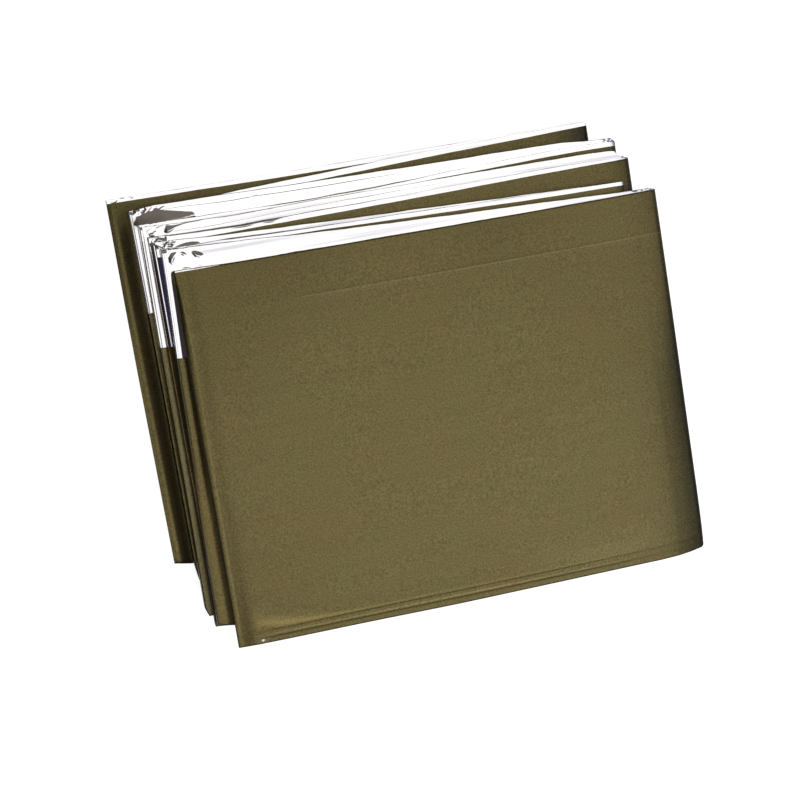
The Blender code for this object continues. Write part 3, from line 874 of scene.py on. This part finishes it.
# Olive coating. Grain and streaks are shares of its brightness, and painted shade darkens it deep in the
# pile.
OLIVE_GREENER = (0.178, 0.150, 0.060)
OLIVE_BROWNER = (0.187, 0.148, 0.059)
OLIVE_PATCHES = {"scale": 110.0, "greener": 0.35, "browner": 0.65}
OLIVE_GRAIN = {"scale": 2600.0, "share": 1.5, "bump": (0.25, 0.00004)}
OLIVE_STREAKS = {"scale": (25.0, 500.0, 300.0), "share": 0.25, "roughness": (0.31, 0.37)}
OLIVE_PAINTED_SHADE_AT_BOTTOM = 0.80


def olive_film():
    """Olive satin coating over bright metal: brushed along the leaf, finely grained."""
    material, tree, shader = new_material("olive_film")
    place = add_node(tree, "TexCoord").outputs["Object"]
    streaks = noise_at(tree, place, OLIVE_STREAKS["scale"], 3.0)
    grain = noise_at(tree, place, OLIVE_GRAIN["scale"], 2.0)
    patches = noise_at(tree, place, OLIVE_PATCHES["scale"], 3.0)
    height = add_node(tree, "SeparateXYZ", {"Vector": place}).outputs["Z"]
    value = times(tree, scaled_about_one(tree, grain, OLIVE_GRAIN["share"]),
                  scaled_about_one(tree, streaks, OLIVE_STREAKS["share"]))
    # Painted shade: darker towards the bottom of the pile.
    value = times(tree, value, mapped(tree, height, 0.0, STACK_HEIGHT * MM, OLIVE_PAINTED_SHADE_AT_BOTTOM, 1.0))
    hue = ramp(tree, patches, [(OLIVE_PATCHES["greener"], OLIVE_GREENER),
                               (OLIVE_PATCHES["browner"], OLIVE_BROWNER)])
    shade = add_node(tree, "VectorMath", {0: hue, "Scale": value}, "SCALE").outputs["Vector"]
    set_inputs(tree, shader, {
        "Base Color": with_painted_light(tree, shade),
        "Metallic": 0.9,
        "Specular IOR Level": 0.5,
        "Roughness": mapped(tree, streaks, 0.0, 1.0, *OLIVE_STREAKS["roughness"]),
        "Normal": bumped(tree, grain, *OLIVE_GRAIN["bump"]),
    })
    return material


# Silver side. Grey streaks of painted reflection tint it, and both these and its ripples fade out on
# the narrow folds at the left.
SILVER_PAINTED_STREAKS = (22.0, 900.0, 250.0)
SILVER_PAINTED_STREAK_TINTS = [(0.52, (0.94, 0.94, 0.95)), (0.68, (0.70, 0.69, 0.74))]
SILVER_RIPPLES = {"scale": (60.0, 700.0, 200.0), "roughness": (0.05, 0.14), "bump": (0.15, 0.0003)}
STREAKS_FROM_X = (-56.0, -48.0)


def silver_film():
    """Bright mirror-like metal with soft ripples and streaks of painted reflection."""
    material, tree, shader = new_material("silver_film")
    place = add_node(tree, "TexCoord").outputs["Object"]
    painted_streaks = noise_at(tree, place, SILVER_PAINTED_STREAKS, 3.0)
    ripples = noise_at(tree, place, SILVER_RIPPLES["scale"], 2.0)
    along = add_node(tree, "SeparateXYZ", {"Vector": place}).outputs["X"]
    inward = mapped(tree, along, STREAKS_FROM_X[0] * MM, STREAKS_FROM_X[1] * MM)
    set_inputs(tree, shader, {
        # The base colour carries streaks of painted reflection and the painted light and shade.
        "Base Color": with_painted_light(tree, ramp(tree, times(tree, painted_streaks, inward), SILVER_PAINTED_STREAK_TINTS)),
        "Metallic": 1.0,
        "Roughness": mapped(tree, ripples, 0.0, 1.0, *SILVER_RIPPLES["roughness"]),
        "Normal": bumped(tree, times(tree, ripples, inward), *SILVER_RIPPLES["bump"]),
    })
    return material


# ---------------------------------------------------------------------------------------------
# Studio.

CAMERA_FROM_TOP_LEAF = Vector((-0.10103, 0.06154, 0.42019))
CAMERA_PLACE = CAMERA_FROM_TOP_LEAF + Vector((-CENTRE_X * MM, -CENTRE_Y * MM, STACK_HEIGHT * MM))
CAMERA_TOWARDS = Vector((0.2066939, -0.12861907, -0.96991483))
CAMERA_UP = Vector((0.18399664, 0.97874441, -0.0905793))
CAMERA_LENS = 81.0


def make_camera():
    """The photograph's camera, at its place and angle over the top leaf."""
    data = bpy.data.cameras.new("camera")
    data.lens = CAMERA_LENS
    data.sensor_width = 36.0
    data.clip_start = 0.01
    data.clip_end = 20.0
    camera = add_object("camera", data)
    back = -CAMERA_TOWARDS.normalized()
    right = CAMERA_UP.cross(back).normalized()
    up = back.cross(right)
    turn = Matrix((right, up, back)).transposed()
    camera.matrix_world = Matrix.Translation(CAMERA_PLACE) @ turn.to_4x4()
    bpy.context.scene.camera = camera


FLOOR_HALF = 3.0
FLOOR_GAP = 0.00005  # keeps it clear of the underside


def make_floor():
    """The photograph's plain white ground."""
    material, tree, shader = new_material("pale_floor")
    set_inputs(tree, shader, {
        "Base Color": (0.86, 0.86, 0.86, 1.0),
        "Roughness": 0.8,
        "Emission Color": (1.0, 1.0, 1.0, 1.0),
        "Emission Strength": 0.9,
    })
    mesh = bpy.data.meshes.new("floor")
    corners = [(x * FLOOR_HALF, y * FLOOR_HALF, 0) for x, y in ((-1, -1), (1, -1), (1, 1), (-1, 1))]
    mesh.from_pydata(corners, [], [(0, 1, 2, 3)])
    mesh.materials.append(material)
    floor = add_object("floor", mesh)
    floor.location.z = -FLOOR_GAP
    floor.visible_glossy = False


# The dim studio's colours from its darkest side to LIT_SIDE, its wall on the right by X, its pale low
# walls and the floor's light from right below by Z.
LIT_SIDE = Vector((0.12, 0.43, 0.89)).normalized()
STUDIO = [
    (0.0, (0.020, 0.017, 0.015)),
    (0.25, (0.014, 0.012, 0.012)),
    (0.45, (0.020, 0.021, 0.055)),
    (0.60, (0.024, 0.021, 0.036)),
    (0.80, (0.045, 0.035, 0.032)),
    (0.93, (0.130, 0.110, 0.090)),
    (1.0, (0.16, 0.14, 0.12)),
]
WALL = {"axis": "X", "from": 0.40, "to": 0.70, "colour": (0.20, 0.22, 0.31)}
LOW_WALLS = {"axis": "Z", "from": 0.28, "to": 0.05, "colour": (0.34, 0.34, 0.35)}
FLOOR_LIGHT = {"axis": "Z", "from": -0.6, "to": -0.9, "colour": (0.60, 0.56, 0.66)}


def make_world():
    """A dim studio round the softbox: brownish overhead and near black lower down, with a grey wall
    on the right, pale low walls all round and the white floor's light from right below.
    """
    world = bpy.data.worlds.new("studio")
    bpy.context.scene.world = world
    world.use_nodes = True
    tree = world.node_tree
    place = add_node(tree, "TexCoord").outputs["Generated"]
    lit = add_node(tree, "VectorMath", {0: place, 1: LIT_SIDE}, "DOT_PRODUCT").outputs["Value"]
    split = add_node(tree, "SeparateXYZ", {"Vector": place})
    colour = ramp(tree, lit, STUDIO)
    for part in (WALL, LOW_WALLS, FLOOR_LIGHT):
        share = mapped(tree, split.outputs[part["axis"]], part["from"], part["to"])
        colour = mixed(tree, share, colour, part["colour"])
    set_inputs(tree, tree.nodes["Background"], {"Color": colour, "Strength": 1.0})


SOFTBOX = {"x": 0.205, "y": -0.39, "z": 0.75, "width": 0.69, "depth": 1.02, "radiance": 1.03}


def make_softbox():
    """The large soft light overhead, which the silver mirrors."""
    data = bpy.data.lights.new("softbox", "AREA")
    data.shape = "RECTANGLE"
    data.size = SOFTBOX["width"]
    data.size_y = SOFTBOX["depth"]
    data.energy = SOFTBOX["radiance"] * math.pi * SOFTBOX["width"] * SOFTBOX["depth"]
    light = add_object("softbox", data)
    light.location = (SOFTBOX["x"], SOFTBOX["y"], SOFTBOX["z"])
    light.visible_camera = False


def silver_edges(name, least, most, silver):
    """One piece of the silver layers that lie on the leaves from least to most."""
    grids = []
    for number, layer in enumerate(LAYERS):
        leaf, _, left, right = layer[:4]
        if not least <= leaf <= most:
            continue
        upper, under = layer_skins(layer, number)
        everywhere = np.ones(upper.shape[:2], bool)
        # The silver layers take painted light and shade too.
        colour = painted_light(np.full(upper.shape[:2], leaf), upper[..., 0], upper[..., 1], everywhere)
        grids.append(closed_grid(upper, under, everywhere, colour))
    edges = sheet_piece(name, grids, [silver, silver])
    edges.data.set_sharp_from_angle(angle=RIM_ANGLE)
    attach(edges, "root")


def main():
    make_camera()
    olive = olive_film()
    silver = silver_film()
    film = sheet_piece("film", [closed_grid(*film_skins())], [olive, silver])
    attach(film, "root")
    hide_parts(NODE)
    for name, least, most in (("silver_edges_low", 5, 9), ("silver_edges_high", 0, 4)):
        silver_edges(name, least, most, silver)
    make_floor()
    make_world()
    make_softbox()
    bpy.context.scene.view_settings.view_transform = "Standard"


main()
